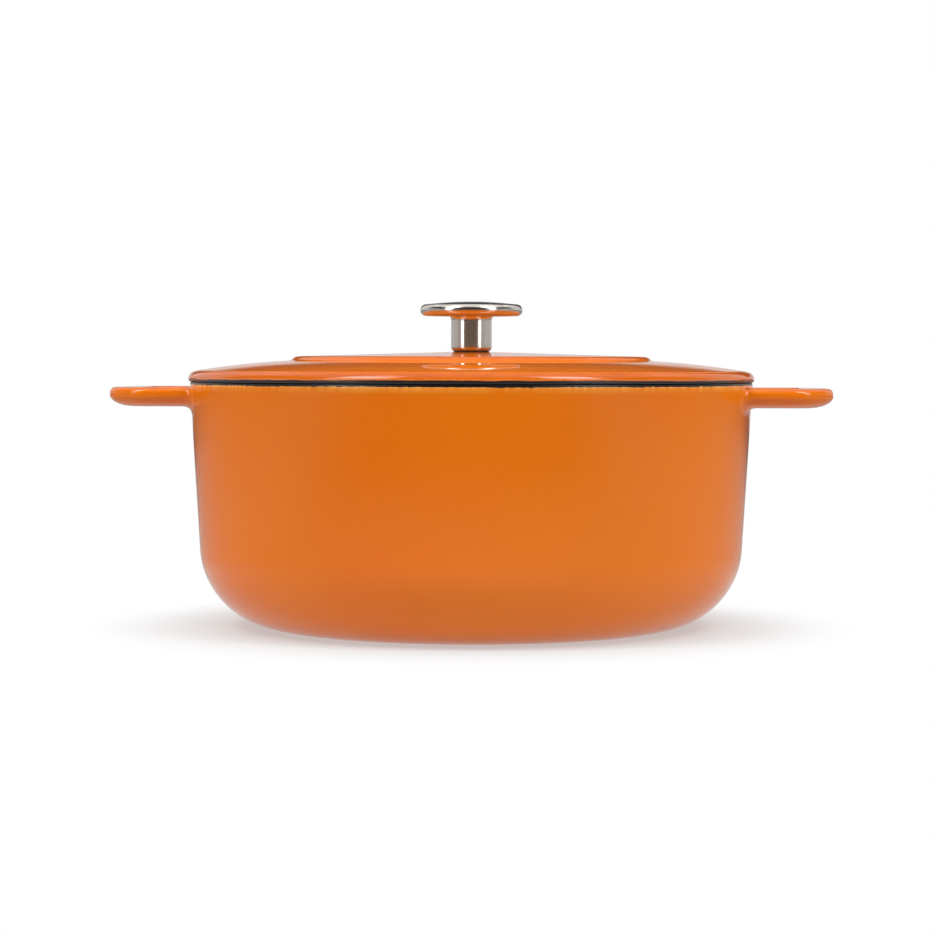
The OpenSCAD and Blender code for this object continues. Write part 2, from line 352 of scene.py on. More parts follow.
class Value:
    """A node's output in an expression: each operation adds the Math node that works it out."""

    def __init__(self, bench, made, socket):
        self.bench = bench
        self.made = made
        self.socket = socket

    def __getitem__(self, output):
        return Value(self.bench, self.made, self.made.outputs[output])

    def math(self, operation, *values):
        return self.bench.add("ShaderNodeMath", {"operation": operation}, dict(enumerate(values)))

    def __add__(self, other):
        return self.math("ADD", self, other)

    def __radd__(self, other):
        return self.math("ADD", other, self)

    def __sub__(self, other):
        return self.math("SUBTRACT", self, other)

    def __rsub__(self, other):
        return self.math("SUBTRACT", other, self)

    def __mul__(self, other):
        return self.math("MULTIPLY", self, other)

    def __rmul__(self, other):
        return self.math("MULTIPLY", other, self)

    def __truediv__(self, other):
        return self.math("DIVIDE", self, other)

    def __rtruediv__(self, other):
        return self.math("DIVIDE", other, self)

    def __pow__(self, other):
        return self.math("POWER", self, other)

    def __rpow__(self, other):
        return self.math("POWER", other, self)

    def __neg__(self):
        return self.math("SUBTRACT", 0.0, self)

    def clipped(self):
        """The value held between 0 and 1."""
        return self.bench.add("ShaderNodeClamp", {}, {"Value": self})

    def ramp(self, low, high):
        """0 below low, 1 above high, and a smooth rise between them."""
        return self.bench.add(
            "ShaderNodeMapRange",
            {"interpolation_type": "SMOOTHSTEP"},
            {"Value": self, "From Min": low, "From Max": high},
        )


class Bench:
    """A material's or a world's node tree, ready for new nodes."""

    def __init__(self, owner):
        owner.use_nodes = True
        self.tree = owner.node_tree
        self.tree.nodes.clear()

    def add(self, kind, settings=None, inputs=None):
        """Adds a node: its settings are set first, then its sockets get values or links."""
        made = self.tree.nodes.new(kind)
        for key, value in (settings or {}).items():
            setattr(made, key, value)
        for key, value in (inputs or {}).items():
            if isinstance(value, Value):
                self.tree.links.new(value.socket, made.inputs[key])
            else:
                made.inputs[key].default_value = value
        return Value(self, made, made.outputs[0] if made.outputs else None)

    def place(self):
        """The point on the surface, in the piece's own metres."""
        return self.add("ShaderNodeTexCoord")["Object"]

    def split(self, vector):
        """The three numbers of a vector."""
        parts = self.add("ShaderNodeSeparateXYZ", {}, {0: vector})
        return parts["X"], parts["Y"], parts["Z"]

    def noise(self, vector, per_metre, detail=2.0, roughness=0.5):
        """Soft noise from 0 to 1, with per_metre waves in a metre."""
        return self.add(
            "ShaderNodeTexNoise",
            {},
            {"Vector": vector, "Scale": per_metre, "Detail": detail, "Roughness": roughness},
        )["Fac"]

    def stripes(self, number, per_metre):
        """Noise that varies with one number only, as the lines of a lathe do."""
        return self.add(
            "ShaderNodeTexNoise",
            {"noise_dimensions": "1D"},
            {"W": number, "Scale": per_metre, "Detail": 3.0, "Roughness": 0.6},
        )["Fac"]

    def mix(self, factor, first, second):
        """The first colour turning into the second as factor goes from 0 to 1."""
        made = self.add("ShaderNodeMix", {"data_type": "RGBA"}, {0: factor})
        for key, value in ((6, first), (7, second)):
            if isinstance(value, Value):
                self.tree.links.new(value.socket, made.made.inputs[key])
            else:
                made.made.inputs[key].default_value = (*value, 1.0)
        return Value(self, made.made, made.made.outputs[2])

    def bump(self, height, distance, strength=1.0):
        """A normal from a height of 0 to 1 that stands for distance metres."""
        return self.add(
            "ShaderNodeBump", {}, {"Height": height, "Distance": distance, "Strength": strength}
        )["Normal"]

    def attribute(self, name):
        """The number stored on the mesh under a name."""
        return self.add("ShaderNodeAttribute", {"attribute_name": name})["Fac"]

    def glow(self, kind, colour, strength):
        """An Emission or a Background shader."""
        return self.add(kind, {}, {"Color": (*colour, 1.0), "Strength": strength})

    def surface(self, **sockets):
        """The material's one Principled shader. Underscores in names stand for spaces."""
        inputs = {key.replace("_", " "): value for key, value in sockets.items()}
        shader = self.add("ShaderNodeBsdfPrincipled", {}, inputs)
        self.add("ShaderNodeOutputMaterial", {}, {"Surface": shader["BSDF"]})


def new_bench(name):
    """A new material and its bench."""
    material = bpy.data.materials.new(name)
    return material, Bench(material)


def scaled(tone, factor):
    """A colour made darker or lighter by a factor."""
    return tuple(factor * part for part in tone)


def finish(maker):
    """The material that a maker names after itself, made on first use."""
    return bpy.data.materials.get(maker.__name__) or maker(bpy.context.scene.oven_finishes)


def orange_glaze(finishes):
    """Glossy orange enamel. Its tone drifts between two oranges over the casting, it thins to a
    burnt orange on edges, a painted highlight in a paler orange lies along its rounded border, and
    its skin has a faint orange peel and a few pits over slow unevenness."""
    material, bench = new_bench("orange_glaze")
    place = bench.place()
    drift = bench.noise(place, 7.0, detail=2.0)
    mottle = bench.noise(place, 60.0, detail=3.0)
    thin = bench.attribute("thin")
    body = bench.mix((drift * 1.6 - 0.3).clipped(), finishes.orange, finishes.amber)
    edge = bench.attribute("edge")
    worn = bench.mix((thin * (0.55 + mottle * 0.8)).clipped(), body, finishes.burnt)
    # Painted highlight: the pale colour laid along the rounded border that the edge mark picks out.
    tone = bench.mix((edge * (0.3 + mottle * 1.4)).clipped(), worn, finishes.pale)
    peel = bench.noise(place, 420.0, detail=2.0)
    sag = bench.noise(place, 38.0, detail=1.0)
    pits = bench.noise(place, 1500.0, detail=0.0).ramp(0.76, 0.82)
    relief = sag + peel * 0.12 - pits * 0.06
    bench.surface(
        Base_Color=tone,
        Roughness=0.025 + mottle * 0.04 + pits * 0.2,
        IOR=1.4,
        Normal=bench.bump(relief, 0.09 * MM),
    )
    return material


def black_glaze(finishes):
    """Satin black enamel: nearly black, with fine pale flecks and a dry, slightly rough skin."""
    material, bench = new_bench("black_glaze")
    place = bench.place()
    cloud = bench.noise(place, 30.0, detail=3.0)
    grain = bench.noise(place, 900.0, detail=2.0)
    flecks = bench.noise(place, 1300.0, detail=0.0).ramp(0.70, 0.78)
    tone = bench.mix(flecks * (0.3 + cloud * 0.6), finishes.black, finishes.fleck)
    bench.surface(
        Base_Color=tone,
        Roughness=0.20 + cloud * 0.12 + grain * 0.08,
        IOR=1.5,
        Normal=bench.bump(grain + cloud * 2.0, 0.03 * MM),
    )
    return material


def polished_steel(finishes):
    """Polished sheet steel with the faint rings of the wheel, which lie along the radius on the
    disc and along the height on the stem, and a few soft smears."""
    material, bench = new_bench("polished_steel")
    place = bench.place()
    x, y, z = bench.split(place)
    radius = (x * x + y * y) ** 0.5
    rings = bench.stripes(radius + z, 5200.0)
    smear = bench.noise(place, 90.0, detail=3.0)
    bench.surface(
        Base_Color=bench.mix(smear * 0.5, finishes.steel, scaled(finishes.steel, 0.9)),
        Metallic=1.0,
        Roughness=0.11 + smear * 0.08 + rings * 0.06,
        Normal=bench.bump(rings, 0.004 * MM),
    )
    return material


def zinc_plating(finishes):
    """Zinc-plated steel: a greyish metal with cloudy patches and a fine grain."""
    material, bench = new_bench("zinc_plating")
    place = bench.place()
    cloud = bench.noise(place, 260.0, detail=3.0)
    grain = bench.noise(place, 3500.0, detail=1.0)
    bench.surface(
        Base_Color=bench.mix(cloud, finishes.zinc, scaled(finishes.zinc, 0.7)),
        Metallic=1.0,
        Roughness=0.28 + cloud * 0.2,
        Normal=bench.bump(grain, 0.006 * MM),
    )
    return material


def gasket_rubber(finishes):
    """Matt dark gasket with a fine grain."""
    material, bench = new_bench("gasket_rubber")
    place = bench.place()
    grain = bench.noise(place, 2500.0, detail=2.0)
    bench.surface(
        Base_Color=bench.mix(grain, finishes.gasket, scaled(finishes.gasket, 1.8)),
        Roughness=0.62 + grain * 0.2,
        Normal=bench.bump(grain, 0.01 * MM),
    )
    return material


# The pot


def wall_r(pot, z):
    """Outside radius of the pot's wall at height z: the rim's, less the lean over the drop."""
    return pot.rim_d / 2 - (pot.height - z) * math.tan(pot.lean)


def corner_x(pot, floor, radius, depth):
    """Radius of a corner's centre, where the corner stands on a floor and touches the wall's line
    moved in by depth."""
    return wall_r(pot, floor + radius) - (radius + depth) / math.cos(pot.lean)


def bowl(pot, floor, radius, depth, top, step=2.5 * MM):
    """Outline of a bowl from the axis to height top: floor, round corner and leaning wall."""
    centre = (corner_x(pot, floor, radius, depth), floor + radius)
    end = (wall_r(pot, top) - depth / math.cos(pot.lean), top)
    bend = arc(centre, radius, -90, -math.degrees(pot.lean), int(120 * MM / step))
    return joined(line((AXIS_R, floor), bend[0], step), bend, line(bend[-1], end, step))


def pot_enamel_grid(pot):
    """The orange outside of the pot: from the recess under the base over the foot, the corner and
    the wall to the enamel's rounded edge under the black rim, then back inside the iron."""
    lean = math.degrees(pot.lean)
    outside = bowl(pot, 0, pot.corner, 0, pot.height - pot.black_rim - pot.bead, 3 * MM)
    foot_r = corner_x(pot, 0, pot.corner, 0) - pot.foot_w
    ease = 0.4 * MM
    under = joined(
        line((AXIS_R, pot.recess), (foot_r - ease, pot.recess), 8 * MM),
        arc((foot_r - ease, pot.recess - ease), ease, 90, 0, 6),
        arc((foot_r + ease, ease), ease, 180, 270, 6),
    )
    bead = outside[-1] + pot.bead * np.array([-math.cos(pot.lean), math.sin(pot.lean)])
    core = bowl(pot, pot.floor / 2, pot.corner - pot.wall / 2, pot.wall / 2, bead[1], 12 * MM)
    profile = joined(
        under,
        outside[outside[:, 0] > foot_r + ease],
        arc(bead, pot.bead, -lean, 90, 12),
        core[::-1],
    )
    grid = revolved(profile, ENAMEL_COLUMNS)
    fade, reach = 1.2 * MM, 4 * MM
    near = hump(profile[:, 1] - (bead[1] + pot.bead), fade)
    near[np.linalg.norm(profile - bead, axis=1) > reach] = 0
    turn = turns(ENAMEL_COLUMNS)
    slow = waves(turn, seed=3, first=4, last=80)
    quick = waves(turn, seed=4, first=120, last=280)
    lift = pot.waver * (0.8 * slow + quick)
    grid[:, :, 2] += near[:, None] * lift
    return grid


def pot_lining_grid(pot):
    """The black inside of the pot: floor, corner and wall, over the rim and down to the orange
    enamel's edge, then back inside the iron. It lies a hair deeper than the orange outside."""
    lean = math.degrees(pot.lean)
    sunk = 0.12 * MM
    low = pot.height - pot.black_rim - pot.bead
    turn_z = pot.height - pot.rim_round
    inside = bowl(pot, pot.floor, pot.corner - pot.wall, pot.wall, turn_z)
    depth = pot.wall / 2 + SHELL_GAP
    bottom = pot.floor / 2 + SHELL_GAP
    core = bowl(pot, bottom, pot.corner - pot.wall / 2 - SHELL_GAP, depth, low)
    outer_x = wall_r(pot, turn_z) - (pot.rim_round + sunk) / math.cos(pot.lean)
    outer = arc((outer_x, turn_z), pot.rim_round, -lean, 90, 12)
    inner_x = inside[-1, 0] + pot.rim_round * math.cos(pot.lean)
    inner = arc((inner_x, turn_z), pot.rim_round, 90, 180 - lean, 12)
    side = line((wall_r(pot, low) - sunk, low), outer[0], 0.4 * MM)
    return revolved(joined(core, side, outer, inner, inside[::-1]), CASTING_COLUMNS)


def bar_section(handle):
    """Section of the bar as (outwards from the bend's centre, up from the top), counterclockwise:
    rounded top edges over an oval belly. Returns the points, their outward normals, and from 0 to
    1 how far each lies on the top edges."""
    out, inn = handle.bend, handle.bend - handle.bar_w
    keel = (inn + handle.keel, -handle.waist)
    belly = handle.bar_t - handle.waist
    rim = handle.edge
    points = joined(
        arc((out - rim, -rim), rim, 0, 90, 14),
        line((out - rim, 0), (inn + rim, 0), 1.5 * MM),
        arc((inn + rim, -rim), rim, 90, 180, 14),
        oval(keel, (handle.keel, belly), 180, 270, 14),
        oval(keel, (handle.bar_w - handle.keel, belly), 270, 360, 24)[:-1],
    )
    along = np.roll(points, -1, axis=0) - np.roll(points, 1, axis=0)
    along /= np.linalg.norm(along, axis=1, keepdims=True)
    normal = np.stack([along[:, 1], -along[:, 0]], axis=1)
    edge_up, fade, lowest = 0.75, 0.3, 0.1
    on_edge = hump(normal[:, 1] - edge_up, fade) * (normal[:, 1] > lowest)
    return points, normal, on_edge


def handle_grid(pot, handle, tip_x):
    """The right handle: the bar's section carried along the loop, point = bend centre + outward
    direction times the section's first number + its second number up. At each root, every line of
    the bar turns into the wall on a quadratic curve from the bar, by the point where the line
    meets the wall, to a point on the wall further out, and then sinks into the iron. Returns the
    grid and how far each point lies on the bar's top edges, clear of the roots."""
    fillet_rows, arm_rows, bend_rows, grip_rows, fade_rows = 12, 11, 24, 7, 8
    section, normal, on_edge = bar_section(handle)
    top = pot.height - handle.drop
    bend = np.array([tip_x - handle.bend, handle.width / 2 - handle.bend])
    across, up = section.T
    height = top + up

    def on_wall(y, z, depth=0.0):
        radius = wall_r(pot, z) - depth
        return grid_of(np.sqrt(radius**2 - y**2), y, z)

    y = bend[1] + across
    flat_top = 0.72
    reach = handle.root * (1 - flat_top * np.clip(normal[:, 1], 0, 1))
    meet = on_wall(y, height)
    leave = meet + grid_of(reach * 1.15, 0, 0)
    land = on_wall(y + reach * normal[:, 0], height + reach * normal[:, 1])
    beyond = reach + 0.5 * MM, reach + 0.25 * MM
    past = on_wall(y + beyond[0] * normal[:, 0], height + beyond[1] * normal[:, 1], 0.06 * MM)
    buried = on_wall(y, height, 1.2 * MM)
    t = np.linspace(1, 0, fillet_rows)[:, None, None]
    fillet = (1 - t) ** 2 * leave + 2 * t * (1 - t) * meet + t**2 * land
    start = grid_of(bend[0], y, height)
    t = np.linspace(0, 1, arm_rows + 1)[1:, None, None]
    arm = leave + t * (start - leave)
    turn = np.radians(np.linspace(0, 90, bend_rows + 1))[1:, None]
    bent = grid_of(bend[0] + across * np.sin(turn), bend[1] + across * np.cos(turn), height)
    side = np.linspace(bend[1], 0, grip_rows + 1)[1:, None]
    grip = grid_of(bend[0] + across, side, height)
    root = np.concatenate([buried[None], past[None], fillet])
    half = np.concatenate([root, arm, bent, grip])
    other = half[-2::-1] * [1, -1, 1]
    grid = np.concatenate([half, other])
    clear = np.clip((np.arange(len(grid)) - len(root)) / fade_rows, 0, 1)
    clear = np.minimum(clear, clear[::-1])
    return grid, clear[:, None] * on_edge


class OVEN_OT_pot(bpy.types.Operator):
    """Make the pot with its two handles, orange outside and black inside"""

    bl_idname = "oven.pot"
    bl_label = "Pot"

    def execute(self, context):
        scene = context.scene
        pot, handle = scene.oven_pot, scene.oven_handle
        right, on_edge = handle_grid(pot, handle, POT_BOX[1].x)
        left = right * [-1, -1, 1]
        mesh = grid_mesh("pot_enamel", [pot_enamel_grid(pot), right, left])
        fan_middles = [0, 0]
        one_handle = np.concatenate([on_edge.ravel(), fan_middles])
        handles = 0.5 * np.concatenate([one_handle, one_handle])
        # Painted highlight: the edge mark lightens the enamel along its rounded border under the
        # black rim; the handles get none.
        border = hump(points_of(mesh)[:, 2] - (pot.height - pot.black_rim), 0.5 * MM)
        border[-len(handles):] = 0
        thin = np.zeros(len(border))
        thin[-len(handles):] = handles
        marked(mesh, "thin", thin)
        marked(mesh, "edge", border)
        piece("pot_enamel", mesh, orange_glaze, "pot", "pot_body")
        mesh = grid_mesh("pot_lining", [pot_lining_grid(pot)])
        piece("pot_lining", mesh, black_glaze, "pot", "pot_body")
        return {"FINISHED"}


# The lid


def lid_radii(lid):
    """The lid's outside radius, the radius where its edge turns into the crown, and the radius of
    its panel."""
    out = LID_BOX[1].y
    return out, out - lid.edge_round * (1 - math.cos(lid.edge_turn)), lid.panel_d / 2


def crown_z(pot, lid, r):
    """Height of the crown: a straight rise from the edge to the panel, plus a parabola's bow."""
    _, start, panel = lid_radii(lid)
    t = (start - r) / (start - panel)
    return pot.height + lid.edge_h + lid.crown_rise * t + 4 * lid.crown_bow * t * (1 - t)


def panel_z(lid, r):
    """Height of the panel: a straight rise from its shoulder to the knob's seat."""
    shoulder = lid.panel_d / 2 - lid.shoulder
    return GASKET_BOX[0].z - lid.panel_rise * (r - lid.seat_r) / (shoulder - lid.seat_r)


def lid_top(pot, lid):
    """Outline of the lid's top from its upright edge to the screw's hole: rounded edge, crown,
    a small round corner at the foot of the step, its shoulder, the panel and the knob's seat."""
    out, start, panel = lid_radii(lid)
    edge_top = pot.height + lid.edge_h
    edge_turn = math.degrees(lid.edge_turn)
    edge_at = (out - lid.edge_round, edge_top - lid.edge_round)
    crown_r = np.linspace(start, panel + 1.2 * lid.foot_round, 28)
    crown = np.stack([crown_r, crown_z(pot, lid, crown_r)], axis=1)
    low = math.degrees(math.asin((lid.shoulder - lid.step_h) / lid.shoulder))
    foot_z = edge_top + lid.crown_rise
    centre = (
        panel - lid.shoulder * math.cos(math.radians(low)),
        foot_z - lid.shoulder * math.sin(math.radians(low)),
    )
    shoulder = arc(centre, lid.shoulder, low + 12, 88, 20)
    bend = np.array([panel + 0.1 * MM, foot_z - 0.05 * MM])
    t = np.linspace(0, 1, 9)[1:-1, None]
    foot = (1 - t) ** 2 * crown[-1] + 2 * t * (1 - t) * bend + t**2 * shoulder[0]
    seat_z = GASKET_BOX[0].z
    top_r = panel - lid.shoulder
    return joined(
        arc(edge_at, lid.edge_round, 0, edge_turn, 16),
        crown,
        foot,
        shoulder,
        line((top_r, panel_z(lid, top_r)), (lid.seat_r, seat_z)),
        line((lid.seat_r, seat_z), (lid.hole_d / 2, seat_z)),
    )


def lid_core(pot, lid, depth):
    """Outline inside the casting that follows its top at a depth, from the hole outwards."""
    top = lid_top(pot, lid)[::-1]
    return top[top[:, 0] < LID_BOX[1].y - 2 * lid.skin] - [0, depth]


def lid_enamel_grid(pot, lid):
    """The orange top of the lid: along its inside from the hole to the edge, round the enamel's
    lower edge, and back over the top. Returns the grid, its outline, and the row on which the top
    starts."""
    out = LID_BOX[1].y
    line_z = pot.height + lid.black_edge
    core = lid_core(pot, lid, lid.skin)
    bead = (out - lid.bead, line_z + lid.bead)
    inner = (out - 1.5 * MM, line_z + 0.3 * MM)
    top = lid_top(pot, lid)
    profile = joined(
        core,
        line(core[-1], inner, FINE),
        line(inner, (out - lid.bead, line_z), 0.5 * MM),
        arc(bead, lid.bead, -90, 0, 8),
        top,
    )
    grid = revolved(profile, CASTING_COLUMNS)
    turn = turns(CASTING_COLUMNS)
    fade, reach = 0.8 * MM, 1 * MM
    near = hump(profile[:, 1] - line_z, fade) * (profile[:, 0] > out - reach)
    slow = waves(turn, seed=11, first=5, last=50)
    quick = waves(turn, seed=12, first=50, last=140)
    lift = lid.waver * (0.7 * slow + 0.6 * quick) - lid.sway * np.cos(2 * turn)
    grid[:, :, 2] += near[:, None] * lift
    return grid, profile, len(profile) - len(top)


def lid_thinning(pot, lid, profile):
    """How far the orange enamel thins at each point of the lid's outline: most on the rounded
    edge and along its border, less at the foot and on the shoulder of the panel's step."""
    out, _, panel = lid_radii(lid)
    edge_top = pot.height + lid.edge_h
    inset = 0.3 * lid.edge_round
    edge = np.linalg.norm(profile - [out - inset, edge_top - inset], axis=1)
    shoulder_at = [panel - lid.shoulder / 2, edge_top + lid.crown_rise + 0.7 * lid.step_h]
    shoulder = np.linalg.norm(profile - shoulder_at, axis=1)
    border = hump(profile[:, 1] - pot.height - lid.black_edge, 0.5 * MM)
    border *= profile[:, 0] > out - 1 * MM
    foot = hump(profile[:, 0] - panel + 2.2 * MM, 1.6 * MM)
    parts = [hump(edge, 2.6 * MM), border, 0.8 * foot, 0.75 * hump(shoulder, 2.4 * MM)]
    return 0.8 * np.max(parts, axis=0)


def lid_lining_grid(pot, lid):
    """The black underside of the lid: boss, hollow, centring ring, seat and lower edge, then back
    inside the casting. Its edge lies a hair inside the orange one."""
    out, _, panel = lid_radii(lid)
    sunk = 0.15 * MM
    lip_z = pot.height - lid.lip_h
    lip_r = wall_r(pot, lip_z) - pot.wall / math.cos(pot.lean) - lid.lip_gap
    lip_x = lip_r - lid.lip_t
    round_r = 0.8 * MM
    boss_z = WASHER_BOX[1].z
    boss_r = lid.boss_d / 2
    riser = panel - 0.6 * lid.thickness
    riser_in = riser - 2 * lid.step_h
    ring_fillet = 2 * MM
    crown_r = np.linspace(riser, lip_x - ring_fillet, 20)
    hollow = np.stack([crown_r, crown_z(pot, lid, crown_r) - lid.thickness], axis=1)
    fillet_z = hollow[-1, 1] - ring_fillet
    boss_top = panel_z(lid, boss_r) - lid.thickness
    fillet = 1.5 * MM
    line_z = pot.height + lid.black_edge + 0.3 * MM
    core = lid_core(pot, lid, lid.skin + SHELL_GAP)
    corner = 0.5 * MM
    side_r = out - sunk
    profile = joined(
        line((lid.hole_d / 2, boss_z), (boss_r - round_r, boss_z)),
        arc((boss_r - round_r, boss_z + round_r), round_r, -90, 0, 8),
        arc((boss_r + fillet, boss_top - fillet), fillet, 180, 92, 8),
        line((boss_r + fillet, boss_top), (riser_in, panel_z(lid, riser_in) - lid.thickness)),
        hollow,
        arc((lip_x - ring_fillet, fillet_z), ring_fillet, 84, 0, 10),
        line((lip_x, fillet_z), (lip_x, lip_z + round_r), FINE),
        arc((lip_x + round_r, lip_z + round_r), round_r, 180, 270, 8),
        arc((lip_r - round_r, lip_z + round_r), round_r, -90, 0, 8),
        line((lip_r, lip_z + round_r), (lip_r, pot.height), FINE),
        line((lip_r, pot.height), (side_r - corner, pot.height), FINE),
        arc((side_r - corner, pot.height + corner), corner, -90, 0, 8),
        line((side_r, pot.height + corner), (side_r, line_z), 0.5 * MM),
        line((side_r, line_z), core[-1], FINE),
        core[::-1],
    )
    return revolved(profile, CASTING_COLUMNS)


class OVEN_OT_lid(bpy.types.Operator):
    """Make the lid, orange above and black below"""

    bl_idname = "oven.lid"
    bl_label = "Lid"

    def execute(self, context):
        scene = context.scene
        pot, lid = scene.oven_pot, scene.oven_lid
        grid, profile, first = lid_enamel_grid(pot, lid)
        mesh = grid_mesh("lid_enamel", [grid], loop=True)
        thin = lid_thinning(pot, lid, profile)
        thin[:first] = 0
        marked(mesh, "thin", np.repeat(thin, CASTING_COLUMNS))
        piece("lid_enamel", mesh, orange_glaze, "lid", "lid")
        mesh = grid_mesh("lid_lining", [lid_lining_grid(pot, lid)], loop=True)
        piece("lid_lining", mesh, black_glaze, "lid", "lid")
        return {"FINISHED"}


# The knob


def cap_grid(knob):
    """The knob's disc: a domed top, an edge rolled round on a circle and returned under the
    flange, and the same shape back inside, one sheet's thickness away."""
    roll_r = knob.disc_t / 2
    axis_r = 0.05 * MM
    slack = 0.2 * MM
    low, top = CAP_BOX[0].z, CAP_BOX[1].z
    centre = (CAP_BOX[1].x - roll_r, low + roll_r)
    rim_z = centre[1] + roll_r * math.sin(knob.roll_end)
    end = math.degrees(knob.roll_end)
    lip_r = centre[0] - slack - knob.crimp
    sheet = knob.cap_sheet

    def dome(drop):
        r = np.linspace(axis_r, centre[0], 24)
        return np.stack([r, rim_z - drop + (top - rim_z) * (1 - (r / centre[0]) ** 2)], axis=1)

    profile = joined(
        dome(sheet),
        arc(centre, roll_r - sheet, end, -90, 28),
        arc((lip_r + sheet / 2, low + sheet / 2), sheet / 2, 90, 270, 8),
        arc(centre, roll_r, -90, end, 44),
        dome(0)[::-1],
    )
    return revolved(profile, KNOB_COLUMNS)


def stem_grid(knob):
    """The stem: a drawn tube with a closed, holed bottom, which flares into a flange at the top."""
    hole_r = knob.hole_d / 2
    r = knob.stem_d / 2
    low, high = STEM_BOX[0].z, STEM_BOX[1].z
    sheet = knob.stem_sheet
    bottom = (r - knob.stem_round, low + knob.stem_round)
    flare = (r + knob.flare, high - sheet - knob.flare)
    flange = STEM_BOX[1].x
    profile = joined(
        line((hole_r, low), (bottom[0], low), FINE),
        arc(bottom, knob.stem_round, -90, 0, 14),
        line((r, bottom[1]), (r, flare[1]), FINE),
        arc(flare, knob.flare, 180, 90, 16),
        line((flare[0], high - sheet), (flange, high - sheet), FINE),
        line((flange, high - sheet), (flange, high), FINE),
        line((flange, high), (flare[0], high), FINE),
        arc(flare, knob.flare + sheet, 90, 180, 16),
        line((r - sheet, flare[1]), (r - sheet, bottom[1]), FINE),
        arc(bottom, knob.stem_round - sheet, 0, -90, 8),
        line((bottom[0], low + sheet), (hole_r, low + sheet), FINE),
        line((hole_r, low + sheet), (hole_r, low), FINE)[:-1],
    )
    return revolved(profile, KNOB_COLUMNS)


def ring_grid(box, hole_r):
    """A flat ring with a small round bevel on its edges."""
    low, high, r = box[0].z, box[1].z, box[1].x
    bevel = RING_BEVEL
    profile = joined(
        line((hole_r + bevel, low), (r - bevel, low), FINE),
        arc((r - bevel, low + bevel), bevel, -90, 0, 5),
        arc((r - bevel, high - bevel), bevel, 0, 90, 5),
        line((r - bevel, high), (hole_r + bevel, high), FINE),
        arc((hole_r + bevel, high - bevel), bevel, 90, 180, 5),
        arc((hole_r + bevel, low + bevel), bevel, 180, 270, 5)[:-1],
    )
    return revolved(profile, FIXING_COLUMNS)


class OVEN_OT_knob(bpy.types.Operator):
    """Make the hollow steel knob and the gasket under it"""

    bl_idname = "oven.knob"
    bl_label = "Knob"

    def execute(self, context):
        knob = context.scene.oven_knob
        cap = grid_mesh("knob_cap", [cap_grid(knob)])
        piece("knob_cap_steel", cap, polished_steel, "lid", "knob_cap")
        stem = grid_mesh("knob_stem", [stem_grid(knob)], loop=True)
        piece("knob_stem_steel", stem, polished_steel, "lid", "knob_stem")
        gasket = grid_mesh("gasket", [ring_grid(GASKET_BOX, knob.hole_d / 2)], loop=True)
        piece("gasket_ring", gasket, gasket_rubber, "lid", "knob_gasket")
        return {"FINISHED"}


# The fixings


def screw_grid(knob):
    """The screw, from the bottom of its cross recess to its tip. The recess's outline at angle a
    is the further of the two bars' edges, and the head's rows blend from it to a circle. The
    thread's radius at height z and angle a follows a zigzag of z / pitch - a / a full turn."""
    low, seat, tip = SCREW_BOX[0].z, LOCK_BOX[0].z, SCREW_BOX[1].z
    head_r, shank_r = SCREW_BOX[1].x, knob.screw_d / 2
    dome_r, depth, ease = 1.85 * MM, 1.8 * MM, 0.1 * MM
    thread_depth, tip_cone = 0.55 * MM, 0.6 * MM
    turn = turns(FIXING_COLUMNS)
    tiny = 1e-9
    side = np.abs(np.cos(turn)) + tiny
    lift = np.abs(np.sin(turn)) + tiny
    arm, half = 3.2 * MM, 0.6 * MM
    level = np.minimum(arm / side, half / lift)
    upright = np.minimum(half / side, arm / lift)
    cross = np.maximum(level, upright)

    def ring(radius, z):
        return around(radius, turn, z)

    rows = [ring(0.2 * cross, low + depth), ring(0.9 * cross, low + 0.85 * depth)]
    rows += [ring(cross, low + ease), ring(cross + 0.08 * MM, low)]
    dome = arc((head_r - dome_r, low + dome_r), dome_r, -90, 0, 12)
    rows += [ring(cross + (dome[0, 0] - cross) * share, low) for share in (0.4, 0.7, 1.0)]
    rows += [ring(r, z) for r, z in dome[1:]]
    rows += [ring(head_r, seat - ease), ring(head_r - ease, seat), ring(shank_r, seat)]
    z = np.arange(seat + 0.2 * MM, tip - 0.8 * MM, knob.pitch / 8)[:, None]
    zigzag = np.abs(((z / knob.pitch - turn / (2 * np.pi)) % 1) - 0.5) * 2
    thread = around(shank_r - thread_depth * zigzag, turn, z)
    end = [ring(shank_r - tip_cone, tip - tip_cone), ring(shank_r - 1.1 * MM, tip)]
    return np.concatenate([np.array(rows), thread, np.array(end)])


def lock_washer_grid(knob):
    """The split washer: a small section with bevelled corners carried round an open turn, whose
    ends lean with the height, as the slanted cut does."""
    low, high, out = LOCK_BOX[0].z, LOCK_BOX[1].z, LOCK_BOX[1].y
    inn = knob.screw_d / 2 + WASHER_GAP
    bevel = RING_BEVEL
    slant = math.radians(30)
    section = joined(
        line((inn + bevel, low), (out - bevel, low), FINE),
        line((out, low + bevel), (out, high - bevel), FINE),
        line((out - bevel, high), (inn + bevel, high), FINE),
        line((inn, high - bevel), (inn, low + bevel), FINE),
    )
    r, z = section.T
    lean = math.tan(slant) * (z - (low + high) / 2) / r
    gap = knob.split / math.cos(slant) / 2 / r
    t = np.linspace(0, 1, 72)[:, None]
    turn = (gap - lean) * (1 - t) + (2 * np.pi - gap - lean) * t
    return around(r, turn, z)


